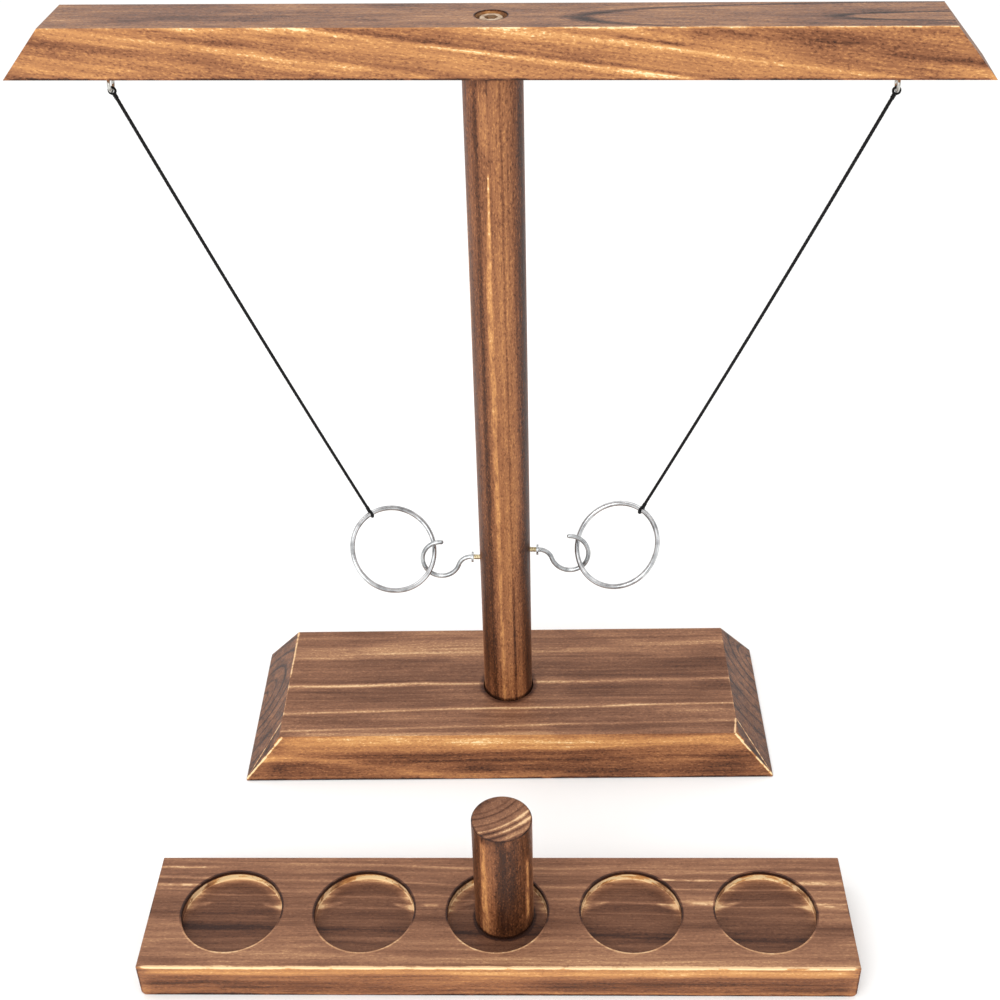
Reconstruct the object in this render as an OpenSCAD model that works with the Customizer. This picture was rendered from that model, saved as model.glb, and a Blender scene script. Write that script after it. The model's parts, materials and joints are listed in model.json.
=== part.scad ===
// Ring toss battle game: a bevelled timber base with one post and a crossbeam.
// A steel ring hangs on a cord from each end of the beam and is hung on a hook
// in the post. A ladder board with five glass recesses stands in front with a
// loose peg in one recess. The origin is on the table under the post's axis,
// X runs along the base, Y away from the players' board and Z up.

/* [Base] */
// Length of the base at the table
base_l = 275; // [230:1:340]
// Depth of the base at the table
base_d = 98.5; // [80:0.5:140]
// Thickness of the base
base_h = 24.5; // [20:0.5:36]
// Run of the bevel at each end
base_end_bevel = 18.7; // [0:0.1:30]
// Run of the bevel at the front and the back
base_side_bevel = 7.4; // [0:0.1:16]
// Height of the upright lip below the bevels
base_lip = 1.5; // [0.5:0.1:8]
// How far the post stands in front of the middle of the base
base_setback = 3.1; // [0:0.1:12]
// Worn front corner, measured back along the end
corner_back = 11.5; // [2:0.5:16]
// Worn front corner, measured along the front
corner_front = 1.8; // [0.5:0.1:6]

/* [Post] */
// Diameter of the post
post_dia = 25.4; // [20:0.1:34]
// Length of the post that stands above the base
post_rise = 337.9; // [260:0.1:420]
// Depth of the socket that takes the foot of the post
socket_depth = 6; // [2:0.5:10]
// Gap round the post in its socket
socket_gap = 0.4; // [0.1:0.05:1]
// Turn of the post and beam on the base, in degrees
stand_turn = -2.9; // [-8:0.1:8]

/* [Beam] */
// Length of the beam along its underside
beam_l = 398; // [340:1:480]
// Depth of the beam from front to back
beam_d = 31; // [28:0.5:45]
// Height of the beam
beam_h = 21.2; // [18:0.1:32]
// Run of the slanted end
beam_slant = 18.2; // [0:0.1:30]

/* [Bolts] */
// Diameter of the bolt's shank
bolt_dia = 6; // [5:0.5:8]
// Length of the bolt under its head
bolt_l = 35; // [30:1:45]
// Diameter of the bolt's head
bolt_head_dia = 10; // [8.5:0.1:13]
// Height of the bolt's head
bolt_head_h = 6; // [4:0.1:8]
// Width across the flats of the hex socket
hex_flats = 5; // [3:0.5:6]
// Depth of the hex socket
hex_depth = 3; // [1.5:0.1:4]
// Diameter of the recess round the bolt's head
recess_dia = 13.5; // [11:0.1:18]
// How far the bolt's head lies below the surface
recess_sink = 0.8; // [0.2:0.1:2]
// Gap round the shank in the timber
bolt_gap = 0.3; // [0.1:0.05:1]
// Gap round the shank in the threaded insert
thread_gap = 0.1; // [0.05:0.01:0.3]
// Outer diameter of the threaded insert
insert_dia = 9.5; // [9:0.1:12]
// Length of the threaded insert
insert_l = 15; // [10:0.5:20]
// Gap round the insert in the post
insert_gap = 0.1; // [0.05:0.01:0.3]
// Depth of the drilling past the end of the bolt
drill_past = 2.2; // [1:0.1:6]

/* [Hooks] */
// Diameter of the hook's wire
hook_wire = 2.3; // [1.6:0.1:3]
// Height of the left hook's shank above the table
left_hook_z = 110.5; // [80:0.1:160]
// Height of the right hook's shank above the table
right_hook_z = 115.9; // [80:0.1:160]
// How far the hook's flange stands off the post
flange_off = 3.2; // [1:0.1:6]
// Diameter of the hook's flange
flange_dia = 5.3; // [4:0.1:8]
// Thickness of the hook's flange
flange_t = 1; // [0.6:0.1:2]
// Length of the hook's thread inside the post
hook_thread_in = 9.5; // [6:0.1:11]
// Gap round a screw thread in its pilot hole
pilot_gap = 0.1; // [0.05:0.01:0.3]
// Radius of the hook's bend, to the middle of the wire
bend_r = 9.4; // [7:0.1:13]
// Middle of the bend, measured outward from the flange
bend_out = 15.6; // [12:0.1:20]
// Middle of the bend, measured below the shank
bend_drop = 1.6; // [0.5:0.1:4]
// Angle at which the hook's tip ends
tip_angle = 92; // [60:1:120]
// Twist of the hook about its shank, in degrees
hook_twist = 12; // [0:1:20]

/* [Eye screws] */
// Distance of the left eye in from the beam's end
left_eye_in = 39.4; // [24:0.1:60]
// Distance of the right eye in from the beam's end
right_eye_in = 35.4; // [24:0.1:60]
// Diameter of the eye's wire
eye_wire = 1.4; // [1:0.1:2]
// Outer diameter of the eye
eye_dia = 7.5; // [7:0.1:10]
// Drop from the beam to the middle of the eye's lowest wire
eye_drop = 9.8; // [9:0.1:14]
// Diameter of the eye screw's thread
eye_thread = 2; // [1.6:0.1:3]
// Length of the eye screw's thread in the beam
eye_thread_in = 9; // [6:0.5:12]
// Part of the eye's circle that the wire covers, in degrees
eye_sweep = 344; // [320:1:350]

/* [Rings] */
// Inner diameter of the ring
ring_bore = 40; // [34:0.5:50]
// Diameter of the ring's wire
ring_wire = 2.5; // [1.8:0.1:3.5]
// Where the ring passes the hook, in from the outer side of the hook's bend
seat_in = 5.58; // [4.5:0.01:7]
// Where the ring passes the hook, behind the line of the hook's shank
seat_back = 0.08; // [-1:0.01:1]
// Where the ring passes the hook, below the hook's shank
seat_below = 1.82; // [0:0.01:4]
// Place on the ring that passes the hook, counted up from its outer side
seat_angle = 212; // [195:1:230]
// Lean of the hung ring, its top away from the players
ring_lean = 46; // [30:1:60]
// Turn of the hung ring, its outer side towards the players
ring_yaw = 32; // [20:1:40]
// Place of the cord on the ring, up from its outer side
tie_angle = 77; // [60:1:100]

/* [Cords] */
// Diameter of the cord
cord_dia = 1.6; // [1:0.1:2.4]
// Sag of the cord between its two loops
cord_sag = 0.9; // [0:0.1:3]
// Diameter of the cord where a loop draws it tight
loop_dia = 1.1; // [0.8:0.1:2]
// Gap between a cord's loop and the wire that it holds
loop_gap = 0.15; // [0.1:0.05:0.3]
// Diameter of the knot that closes a loop
knot_dia = 2; // [1.8:0.1:4]
// Length of the knot that closes a loop
knot_l = 2.8; // [2:0.1:5]

/* [Ladder board] */
// Length of the ladder board
ladder_l = 321.5; // [310:0.5:400]
// Depth of the ladder board
ladder_d = 63.2; // [56:0.1:90]
// Thickness of the ladder board
ladder_h = 19.5; // [14:0.5:28]
// Diameter of a glass recess
cup_dia = 46.1; // [36:0.1:54]
// Depth of a glass recess
cup_depth = 5; // [2:0.5:9]
// Spacing of the glass recesses
cup_pitch = 61.4; // [56:0.1:64]
// Number of glass recesses
cup_count = 5; // [3:2:5]
// Radius of the lower corner at each end
ladder_corner = 2.5; // [1:0.1:6]
// Distance of the ladder board's middle in front of the post's axis
ladder_fore = 147.9; // [125:0.1:220]
// Distance of the ladder board's middle to the left of the post's axis
ladder_left = 4.2; // [0:0.1:20]
// Turn of the ladder board on the table, in degrees
ladder_turn = -0.5; // [-5:0.1:5]

/* [Peg] */
// Diameter of the peg
peg_dia = 26.9; // [20:0.1:32]
// Length of the peg
peg_l = 65; // [40:1:100]
// Eased edge of the peg
peg_ease = 0.5; // [0.2:0.1:2]
// How far the peg stands right of the recess's middle
peg_right = 3.2; // [-5:0.1:5]
// How far the peg stands behind the recess's middle
peg_back = 1.3; // [-5:0.1:5]

/* [Hidden] */

eps = 0.05;
round_fn = 64;
wire_fn = 24;
bend_fn = 96;

charred = [0.45, 0.29, 0.18];
steel = [0.82, 0.83, 0.85];
brass = [0.78, 0.62, 0.30];
black_cord = [0.07, 0.07, 0.08];

post_r = post_dia / 2;
foot_z = base_h - socket_depth;
beam_z = base_h + post_rise;
beam_top = beam_z + beam_h;
post_l = beam_z - foot_z;

// Heights of the two bolts: the head lies sunk in its recess.
recess_deep = bolt_head_h + recess_sink;
top_seat_z = beam_top - recess_deep;
base_seat_z = recess_deep;
top_drill = bolt_l - (beam_h - recess_deep) + drill_past;
base_drill = base_seat_z + bolt_l - foot_z + drill_past;

// The hook's outline lies in a plane through its shank: u runs outward from
// the post's axis and v up. The first arc leaves the shank and meets the
// bend in a common tangent, which sets its radius.
flange_u = post_r + flange_off;
shank_u = flange_u + flange_t + 0.35;
bend_u = flange_u + flange_t + bend_out;
arc_gap = bend_u - shank_u;
arc_r = (arc_gap * arc_gap + bend_drop * bend_drop - bend_r * bend_r) / (2 * (bend_r + bend_drop));
join_angle = atan2(arc_r - bend_drop, arc_gap);

// The eye's ring hangs below the beam with its hole facing along the beam.
eye_mid_r = (eye_dia - eye_wire) / 2;
eye_z = beam_z - eye_drop;
eye_neck = 0.8;
left_eye_x = beam_l / 2 - left_eye_in;
right_eye_x = beam_l / 2 - right_eye_in;

ring_r = (ring_bore + ring_wire) / 2;
top_loop_r = (eye_wire + loop_dia) / 2 + loop_gap;
ring_loop_r = (ring_wire + loop_dia) / 2 + loop_gap;

// Rings of points along each cord, and sides of the cord's tube.
cord_steps = 38;
cord_sides = 8;

cup_r = cup_dia / 2;
ladder_floor = ladder_h - cup_depth;

// A point on the ring's middle line, and the ring's direction there, before
// the hook's height is added. The right side is drawn, the left is its mirror.
function lean_back(p) = [
  p[0],
  p[1] * cos(ring_lean) + p[2] * sin(ring_lean),
  p[2] * cos(ring_lean) - p[1] * sin(ring_lean)
];
function yaw_round(p) = [
  p[0] * cos(ring_yaw) + p[1] * sin(ring_yaw),
  p[1] * cos(ring_yaw) - p[0] * sin(ring_yaw),
  p[2]
];
function hung(p) = yaw_round(lean_back(p));
function ring_seat(hook_z) = [bend_u + bend_r - seat_in, seat_back, hook_z - seat_below];
function ring_mid(hook_z) =
  ring_seat(hook_z) - hung([ring_r * cos(seat_angle), 0, ring_r * sin(seat_angle)]);
function tie_point(hook_z) =
  ring_mid(hook_z) + hung([ring_r * cos(tie_angle), 0, ring_r * sin(tie_angle)]);
function tie_line() = hung([-sin(tie_angle), 0, cos(tie_angle)]);
function eye_point(eye_x) = [eye_x, 0, eye_z];

function unit(v) = v / norm(v);

// One ring of the cord's tube, square to the line between the cord's ends.
function tube_ring(p, d) =
  let (side = unit(cross(d, [0, 1, 0])), up = cross(side, d))
  [
    for (k = [0 : cord_sides - 1])
      let (a = k * 360 / cord_sides)
        p + cord_dia / 2 * (side * cos(a) + up * sin(a))
  ];

// Turns and moves its child from the Z axis onto the line from one point to another.
module along(from, to) {
  d = to - from;
  translate(from)
    rotate([0, acos(d[2] / norm(d)), atan2(d[1], d[0])])
      children();
}

// Cuts off what lies beyond the plane through three points, seen anticlockwise.
module cut_beyond(a, b, c, reach) {
  n = unit(cross(b - a, c - a));
  translate(a)
    rotate([0, acos(n[2]), atan2(n[1], n[0])])
      translate([-reach, -reach, 0])
        cube([2 * reach, 2 * reach, reach]);
}

// Everything above the base turns together on the base's bolt.
module turned() {
  rotate([0, 0, stand_turn])
    children();
}

module bevelled_profile(width, run) {
  polygon([
    [-width / 2, 0],
    [width / 2, 0],
    [width / 2, base_lip],
    [width / 2 - run, base_h],
    [run - width / 2, base_h],
    [-width / 2, base_lip]
  ]);
}

module base_block() {
  intersection() {
    rotate([90, 0, 0])
      translate([0, 0, -base_d / 2])
        linear_extrude(base_d)
          bevelled_profile(base_l, base_end_bevel);
    rotate([90, 0, 90])
      translate([0, 0, -base_l / 2])
        linear_extrude(base_l)
          bevelled_profile(base_d, base_side_bevel);
  }
}

// The worn facet runs from the bottom corner up to the edges of the top face.
module worn_corner() {
  top_x = base_l / 2 - base_end_bevel;
  top_y = -base_d / 2 + base_side_bevel;
  cut_beyond(
    [base_l / 2, -base_d / 2, base_lip],
    [top_x, top_y + corner_back, base_h],
    [top_x - corner_front, top_y, base_h],
    base_h
  );
}

module base() {
  color(charred)
    difference() {
      translate([0, base_setback, 0])
        difference() {
          base_block();
          worn_corner();
          mirror([1, 0, 0])
            worn_corner();
        }
      translate([0, 0, foot_z])
        cylinder(h = socket_depth + eps, r = post_r + socket_gap, $fn = round_fn);
      translate([0, 0, -eps])
        cylinder(h = base_h, r = bolt_dia / 2 + bolt_gap, $fn = wire_fn);
      translate([0, 0, -eps])
        cylinder(h = recess_deep + eps, r = recess_dia / 2, $fn = round_fn);
    }
}

module hook_pilot(hook_z) {
  translate([post_r - hook_thread_in - 1, 0, hook_z])
    rotate([0, 90, 0])
      cylinder(h = hook_thread_in + 2, r = hook_wire / 2 + pilot_gap, $fn = wire_fn);
}

module post() {
  insert_hole = insert_dia / 2 + insert_gap;
  color(charred)
    turned()
      difference() {
        translate([0, 0, foot_z])
          cylinder(h = post_l, r = post_r, $fn = round_fn);
        translate([0, 0, beam_z - top_drill])
          cylinder(h = top_drill + eps, r = insert_hole, $fn = round_fn);
        translate([0, 0, foot_z - eps])
          cylinder(h = base_drill + eps, r = insert_hole, $fn = round_fn);
        hook_pilot(right_hook_z);
        mirror([1, 0, 0])
          hook_pilot(left_hook_z);
      }
}

module eye_pilot(eye_x) {
  translate([eye_x, 0, beam_z - eps])
    cylinder(h = eye_thread_in + 0.5, r = eye_thread / 2 + pilot_gap, $fn = wire_fn);
}

module beam() {
  color(charred)
    turned()
      difference() {
        rotate([90, 0, 0])
          translate([0, beam_z, -beam_d / 2])
            linear_extrude(beam_d)
              polygon([
                [-beam_l / 2, 0],
                [beam_l / 2, 0],
                [beam_l / 2 - beam_slant, beam_h],
                [beam_slant - beam_l / 2, beam_h]
              ]);
        translate([0, 0, top_seat_z])
          cylinder(h = recess_deep + eps, r = recess_dia / 2, $fn = round_fn);
        translate([0, 0, beam_z - eps])
          cylinder(h = beam_h, r = bolt_dia / 2 + bolt_gap, $fn = wire_fn);
        eye_pilot(right_eye_x);
        eye_pilot(-left_eye_x);
      }
}

// A cap screw that stands on its seat with the shank pointing down.
module cap_bolt() {
  bevel = 0.5;
  difference() {
    union() {
      cylinder(h = bolt_head_h - bevel, r = bolt_head_dia / 2, $fn = round_fn);
      translate([0, 0, bolt_head_h - bevel])
        cylinder(h = bevel, r1 = bolt_head_dia / 2, r2 = bolt_head_dia / 2 - bevel, $fn = round_fn);
      translate([0, 0, -bolt_l])
        cylinder(h = bolt_l + eps, r = bolt_dia / 2, $fn = wire_fn);
    }
    translate([0, 0, bolt_head_h - hex_depth])
      cylinder(h = hex_depth + eps, r = hex_flats / 2 / cos(30), $fn = 6);
  }
}

module top_bolt() {
  color(steel)
    turned()
      translate([0, 0, top_seat_z])
        cap_bolt();
}

module base_bolt() {
  color(steel)
    turned()
      translate([0, 0, base_seat_z])
        rotate([180, 0, 0])
          cap_bolt();
}

module threaded_insert() {
  difference() {
    cylinder(h = insert_l, r = insert_dia / 2, $fn = round_fn);
    translate([0, 0, -eps])
      cylinder(h = insert_l + 2 * eps, r = bolt_dia / 2 + thread_gap, $fn = wire_fn);
  }
}

module top_insert() {
  color(brass)
    turned()
      translate([0, 0, beam_z - insert_l])
        threaded_insert();
}

module base_insert() {
  color(brass)
    turned()
      translate([0, 0, foot_z])
        threaded_insert();
}

// A bent piece of wire: part of a ring about Z, from one angle to another.
module wire_arc(radius, wire, start, sweep) {
  rotate([0, 0, start])
    rotate_extrude(angle = sweep, $fn = bend_fn)
      translate([radius, 0])
        circle(r = wire / 2, $fn = wire_fn);
}

// A hair wider than the wire, so that two bends which only touch become one piece.
module bead(wire) {
  sphere(r = wire / 2 + 0.02, $fn = wire_fn);
}

// The hook lies in the XZ plane here, with its shank along X at the height of Z = 0.
module hook_wire_form() {
  thread_from = post_r - hook_thread_in;
  bend_sweep = 360 + tip_angle - (180 + join_angle);
  translate([thread_from, 0, 0])
    rotate([0, 90, 0])
      cylinder(h = shank_u - thread_from, r = hook_wire / 2, $fn = wire_fn);
  translate([flange_u, 0, 0])
    rotate([0, 90, 0])
      cylinder(h = flange_t, r = flange_dia / 2, $fn = wire_fn * 2);
  rotate([90, 0, 0]) {
    translate([shank_u, -arc_r, 0])
      wire_arc(arc_r, hook_wire, join_angle, 90 - join_angle);
    translate([bend_u, -bend_drop, 0])
      wire_arc(bend_r, hook_wire, 180 + join_angle, bend_sweep);
  }
  translate([shank_u, 0, 0])
    bead(hook_wire);
  translate([shank_u + arc_r * cos(join_angle), 0, arc_r * sin(join_angle) - arc_r])
    bead(hook_wire);
  translate([bend_u + bend_r * cos(tip_angle), 0, bend_r * sin(tip_angle) - bend_drop])
    sphere(r = hook_wire / 2 - 0.04, $fn = wire_fn);
}

module hook_at(hook_z) {
  translate([0, 0, hook_z])
    rotate([-hook_twist, 0, 0])
      hook_wire_form();
}

module left_hook() {
  color(steel)
    turned()
      mirror([1, 0, 0])
        hook_at(left_hook_z);
}

module right_hook() {
  color(steel)
    turned()
      hook_at(right_hook_z);
}

// The wire leaves its neck, runs round the eye and stops just short of the neck.
module eye_screw_at(eye_x) {
  neck_z = eye_z + 2 * eye_mid_r;
  translate([eye_x, 0, 0]) {
    translate([0, 0, neck_z])
      cylinder(h = beam_z - eye_neck - neck_z, r = eye_wire / 2, $fn = wire_fn);
    translate([0, 0, beam_z - eye_neck])
      cylinder(h = eye_neck + eye_thread_in, r = eye_thread / 2, $fn = wire_fn);
    translate([0, 0, eye_z + eye_mid_r])
      rotate([90, 0, 90])
        wire_arc(eye_mid_r, eye_wire, 90, eye_sweep);
    translate([0, 0, neck_z])
      sphere(r = eye_wire / 2, $fn = wire_fn);
  }
}

module left_eye_screw() {
  color(steel)
    turned()
      mirror([1, 0, 0])
        eye_screw_at(left_eye_x);
}

module right_eye_screw() {
  color(steel)
    turned()
      eye_screw_at(right_eye_x);
}

// The cord's tube runs from the face of one knot to the face of the other.
module string_between(eye_x, hook_z) {
  top = eye_point(eye_x);
  low = tie_point(hook_z);
  d = unit(low - top);
  from = top + d * (top_loop_r + knot_l);
  to = low - d * (ring_loop_r + knot_l);
  down = unit([0, 0, -1] + d * d[2]);
  rings = [
    for (k = [0 : cord_steps - 1])
      let (t = k / (cord_steps - 1))
        tube_ring(from + (to - from) * t + down * 4 * cord_sag * t * (1 - t), d)
  ];
  last = (cord_steps - 1) * cord_sides;
  polyhedron(
    points = [for (r = rings) each r],
    faces = concat(
      [[for (k = [0 : cord_sides - 1]) k]],
      [
        for (s = [0 : cord_steps - 2], k = [0 : cord_sides - 1])
          let (n = (k + 1) % cord_sides)
            each [
              [s * cord_sides + k, (s + 1) * cord_sides + k, (s + 1) * cord_sides + n],
              [s * cord_sides + k, (s + 1) * cord_sides + n, s * cord_sides + n]
            ]
      ],
      [[for (k = [cord_sides - 1 : -1 : 0]) last + k]]
    )
  );
}

// A loop round a wire, with the knot that closes it on the cord's line.
module loop_with_knot(at, wire_line, far, radius) {
  d = unit(far - at);
  along(at, at + wire_line)
    rotate_extrude($fn = bend_fn / 2)
      translate([radius, 0])
        circle(r = loop_dia / 2, $fn = wire_fn);
  along(at + d * (radius - 0.2), far)
    cylinder(h = knot_l + 0.2, r = knot_dia / 2, $fn = wire_fn);
}

module top_loop_at(eye_x, hook_z) {
  loop_with_knot(eye_point(eye_x), [0, 1, 0], tie_point(hook_z), top_loop_r);
}

module ring_loop_at(eye_x, hook_z) {
  loop_with_knot(tie_point(hook_z), tie_line(), eye_point(eye_x), ring_loop_r);
}

module left_string() {
  color(black_cord)
    turned()
      mirror([1, 0, 0])
        string_between(left_eye_x, left_hook_z);
}

module right_string() {
  color(black_cord)
    turned()
      string_between(right_eye_x, right_hook_z);
}

module left_top_loop() {
  color(black_cord)
    turned()
      mirror([1, 0, 0])
        top_loop_at(left_eye_x, left_hook_z);
}

module right_top_loop() {
  color(black_cord)
    turned()
      top_loop_at(right_eye_x, right_hook_z);
}

module left_ring_loop() {
  color(black_cord)
    turned()
      mirror([1, 0, 0])
        ring_loop_at(left_eye_x, left_hook_z);
}

module right_ring_loop() {
  color(black_cord)
    turned()
      ring_loop_at(right_eye_x, right_hook_z);
}

// The ring is drawn upright in the XZ plane, leaned back, turned and hung.
module ring_at(hook_z) {
  translate(ring_mid(hook_z))
    rotate([0, 0, -ring_yaw])
      rotate([90 - ring_lean, 0, 0])
        rotate_extrude($fn = bend_fn)
          translate([ring_r, 0])
            circle(r = ring_wire / 2, $fn = wire_fn);
}

module left_ring() {
  color(steel)
    turned()
      mirror([1, 0, 0])
        ring_at(left_hook_z);
}

module right_ring() {
  color(steel)
    turned()
      ring_at(right_hook_z);
}

module on_ladder() {
  translate([-ladder_left, -ladder_fore, 0])
    rotate([0, 0, ladder_turn])
      children();
}

module ladder_profile() {
  difference() {
    translate([-ladder_l / 2, 0])
      square([ladder_l, ladder_h]);
    for (side = [-1, 1])
      translate([side * (ladder_l / 2 - ladder_corner), ladder_corner])
        difference() {
          translate([side < 0 ? -ladder_corner - 1 : 0, -ladder_corner - 1])
            square([ladder_corner + 1, ladder_corner + 1]);
          circle(r = ladder_corner, $fn = wire_fn * 2);
        }
  }
}

module ladder_board() {
  color(charred)
    on_ladder()
      difference() {
        rotate([90, 0, 0])
          translate([0, 0, -ladder_d / 2])
            linear_extrude(ladder_d)
              ladder_profile();
        for (k = [0 : cup_count - 1])
          translate([(k - (cup_count - 1) / 2) * cup_pitch, 0, ladder_floor])
            cylinder(h = cup_depth + eps, r = cup_r, $fn = bend_fn);
      }
}

module peg() {
  color(charred)
    on_ladder()
      translate([peg_right, peg_back, ladder_floor])
        rotate_extrude($fn = round_fn)
          polygon([
            [0, 0],
            [peg_dia / 2 - peg_ease, 0],
            [peg_dia / 2, peg_ease],
            [peg_dia / 2, peg_l - peg_ease],
            [peg_dia / 2 - peg_ease, peg_l],
            [0, peg_l]
          ]);
}

base();
post();
beam();
top_bolt();
top_insert();
base_bolt();
base_insert();
left_hook();
right_hook();
left_eye_screw();
right_eye_screw();
left_string();
right_string();
left_top_loop();
right_top_loop();
left_ring_loop();
right_ring_loop();
left_ring();
right_ring();
ladder_board();
peg();
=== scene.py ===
import bpy
import bmesh
import json
from math import pi, sin, cos, radians
from mathutils import Vector, Matrix, Euler


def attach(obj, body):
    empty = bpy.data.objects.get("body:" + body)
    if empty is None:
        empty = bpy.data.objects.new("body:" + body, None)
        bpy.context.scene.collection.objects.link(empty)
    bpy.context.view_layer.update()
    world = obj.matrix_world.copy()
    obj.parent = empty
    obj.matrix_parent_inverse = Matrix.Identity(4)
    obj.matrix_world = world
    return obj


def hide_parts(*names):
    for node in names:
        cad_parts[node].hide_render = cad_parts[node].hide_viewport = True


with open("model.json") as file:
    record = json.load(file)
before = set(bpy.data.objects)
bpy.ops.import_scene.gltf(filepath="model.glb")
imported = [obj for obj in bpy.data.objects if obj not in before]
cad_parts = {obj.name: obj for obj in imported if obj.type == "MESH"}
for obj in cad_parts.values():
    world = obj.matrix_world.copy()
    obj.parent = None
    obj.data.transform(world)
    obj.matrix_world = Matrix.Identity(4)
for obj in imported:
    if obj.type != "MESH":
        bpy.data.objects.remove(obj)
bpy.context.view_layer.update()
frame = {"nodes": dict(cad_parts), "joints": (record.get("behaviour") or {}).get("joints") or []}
scene = bpy.context.scene
scene.view_settings.view_transform = "Standard"
mm = 0.001
joints = {j["name"]: j for j in frame["joints"]}

# Camera, matched to the photograph's view

cameraLook = {
    "sensor": 36, "lens": 53.767,                           # mm
    "place": (14.72, -598.20, 570.58),                      # mm
    "tiltDown": 0.617, "turn": 0.0276, "roll": -0.0279,     # radians
}
cameraData = bpy.data.cameras.new("photoCamera")
cameraData.sensor_width = cameraLook["sensor"]
cameraData.lens = cameraLook["lens"]
camera = bpy.data.objects.new("photoCamera", cameraData)
scene.collection.objects.link(camera)
aim = Euler((pi / 2 - cameraLook["tiltDown"], 0, cameraLook["turn"])).to_matrix()
aim = aim @ Matrix.Rotation(cameraLook["roll"], 3, "Z")
camera.matrix_world = Matrix.Translation(Vector(cameraLook["place"]) * mm) @ aim.to_4x4()
scene.camera = camera
print("camera set")


# Small tools

def toLinear(hexColour):
    parts = [int(hexColour[i:i + 2], 16) / 255 for i in (1, 3, 5)]
    return [c / 12.92 if c <= 0.04045 else ((c + 0.055) / 1.055) ** 2.4 for c in parts] + [1.0]


# adds one node: inputs are plain values or sockets, stops are a ramp's (place, hex or grey)
def addNode(tree, kind, inputs=None, out=0, stops=None, **settings):
    made = tree.nodes.new("ShaderNode" + kind)
    for key, value in settings.items():
        setattr(made, key, value)
    for key, value in (inputs or {}).items():
        if isinstance(value, bpy.types.NodeSocket):
            tree.links.new(value, made.inputs[key])
        else:
            made.inputs[key].default_value = value
    if stops:
        steps = made.color_ramp.elements
        while len(steps) < len(stops):
            steps.new(0.5)
        for step, (place, tone) in zip(steps, stops):
            step.position = place
            step.color = toLinear(tone) if isinstance(tone, str) else (tone, tone, tone, 1)
    return made.outputs[out] if made.outputs else made


def newMaterial(name):
    material = bpy.data.materials.new(name)
    material.use_nodes = True
    material.node_tree.nodes.clear()
    return material, material.node_tree


def newPiece(name, bm, material, body, sharpFrom=None):
    mesh = bpy.data.meshes.new(name)
    bm.to_mesh(mesh)
    bm.free()
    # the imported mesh's stored normals would hide the eased edges
    if "custom_normal" in mesh.attributes:
        mesh.attributes.remove(mesh.attributes["custom_normal"])
    piece = bpy.data.objects.new(name, mesh)
    scene.collection.objects.link(piece)
    mesh.materials.clear()
    mesh.materials.append(material)
    for face in mesh.polygons:
        face.use_smooth = True
        face.material_index = 0
    if sharpFrom:
        mesh.set_sharp_from_angle(angle=radians(sharpFrom))
    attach(piece, body)
    return piece


# a tube along points; with strands, its section is lobed and turns once in layLength
def laidTube(bm, points, radius, strands=0, layLength=1.0, sides=18, groove=0.16, closed=False):
    count = len(points)
    rings = []
    side = None
    travelled = 0.0
    for i, point in enumerate(points):
        after = points[(i + 1) % count] if closed or i + 1 < count else point
        before = points[i - 1] if closed or i else point
        ahead = (after - before).normalized()
        if side is None:
            side = ahead.orthogonal().normalized()
        side = (side - ahead * side.dot(ahead)).normalized()
        other = ahead.cross(side)
        if i:
            travelled += (point - points[i - 1]).length
        twist = 2 * pi * travelled / layLength
        ring = []
        for k in range(sides):
            angle = 2 * pi * k / sides
            lobe = abs(cos(strands * (angle - twist) / 2)) if strands else 1
            r = radius * (1 - groove * (1 - lobe))
            ring.append(bm.verts.new(point + (side * cos(angle) + other * sin(angle)) * r))
        rings.append(ring)
    for i in range(count if closed else count - 1):
        a, b = rings[i], rings[(i + 1) % count]
        for k in range(sides):
            n = (k + 1) % sides
            bm.faces.new((a[k], a[n], b[n], b[k]))
    if not closed:
        bm.faces.new(list(reversed(rings[0])))
        bm.faces.new(rings[-1])
    return bm


# Cords: black polyester, laid from three strands, with a wrapped knot at each loop

cordLook = {
    # mm
    "diameter": 1.6, "layLength": 5.4, "sag": 0.9,
    "loopDiameter": 1.1,                       # drawn tight where it goes round the wire
    "topLoop": 1.4, "ringLoop": 1.95,          # from the wire's middle to the cord's middle
    "knotLength": 2.8, "knotDiameter": 2.0,
    "knotTuck": 0.2,                           # how far the knot reaches into its loop
    "wrapDiameter": 0.8, "wrapLay": 1.9,
    "leftTie": (-67.3756, 10.9204, 130.8856), "rightTie": (68.1342, 4.0557, 136.2856),
    "clump": 0.35, "relief": 0.05,             # clumps of filament, and how far they stand out
    # counts and shares
    "strands": 3, "knotTurns": 3,
    "coreRadius": 0.46,                        # of the cord's diameter, inside the knot
    "wrapSides": 12, "wrapGroove": 0.12,
    "runSteps": 320, "loopSteps": 40, "turnSteps": 16, "coreSteps": 6,
    # finish
    "dark": "#030304", "light": "#151416", "roughness": 0.78,
}


# Laid polyester cord: dull black, with grey lights where the filaments turn to the light.
def laidPolyester(look):
    material, tree = newMaterial("laidPolyesterCord")
    place = addNode(tree, "TexCoord", out=3)
    grit = addNode(tree, "TexNoise", {0: place, "Scale": 1 / (look["clump"] * mm), "Detail": 2.0})
    colour = addNode(tree, "ValToRGB", {0: grit}, stops=[(0.3, look["dark"]), (0.8, look["light"])])
    bump = addNode(tree, "Bump", {"Strength": 0.4, "Distance": look["relief"] * mm, "Height": grit})
    shader = addNode(tree, "BsdfPrincipled", {
        "Base Color": colour, "Roughness": look["roughness"], "Specular IOR Level": 0.25,
        "Sheen Weight": 0.08, "Sheen Roughness": 0.4, "Normal": bump,
    })
    addNode(tree, "OutputMaterial", {0: shader})
    return material


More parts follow.
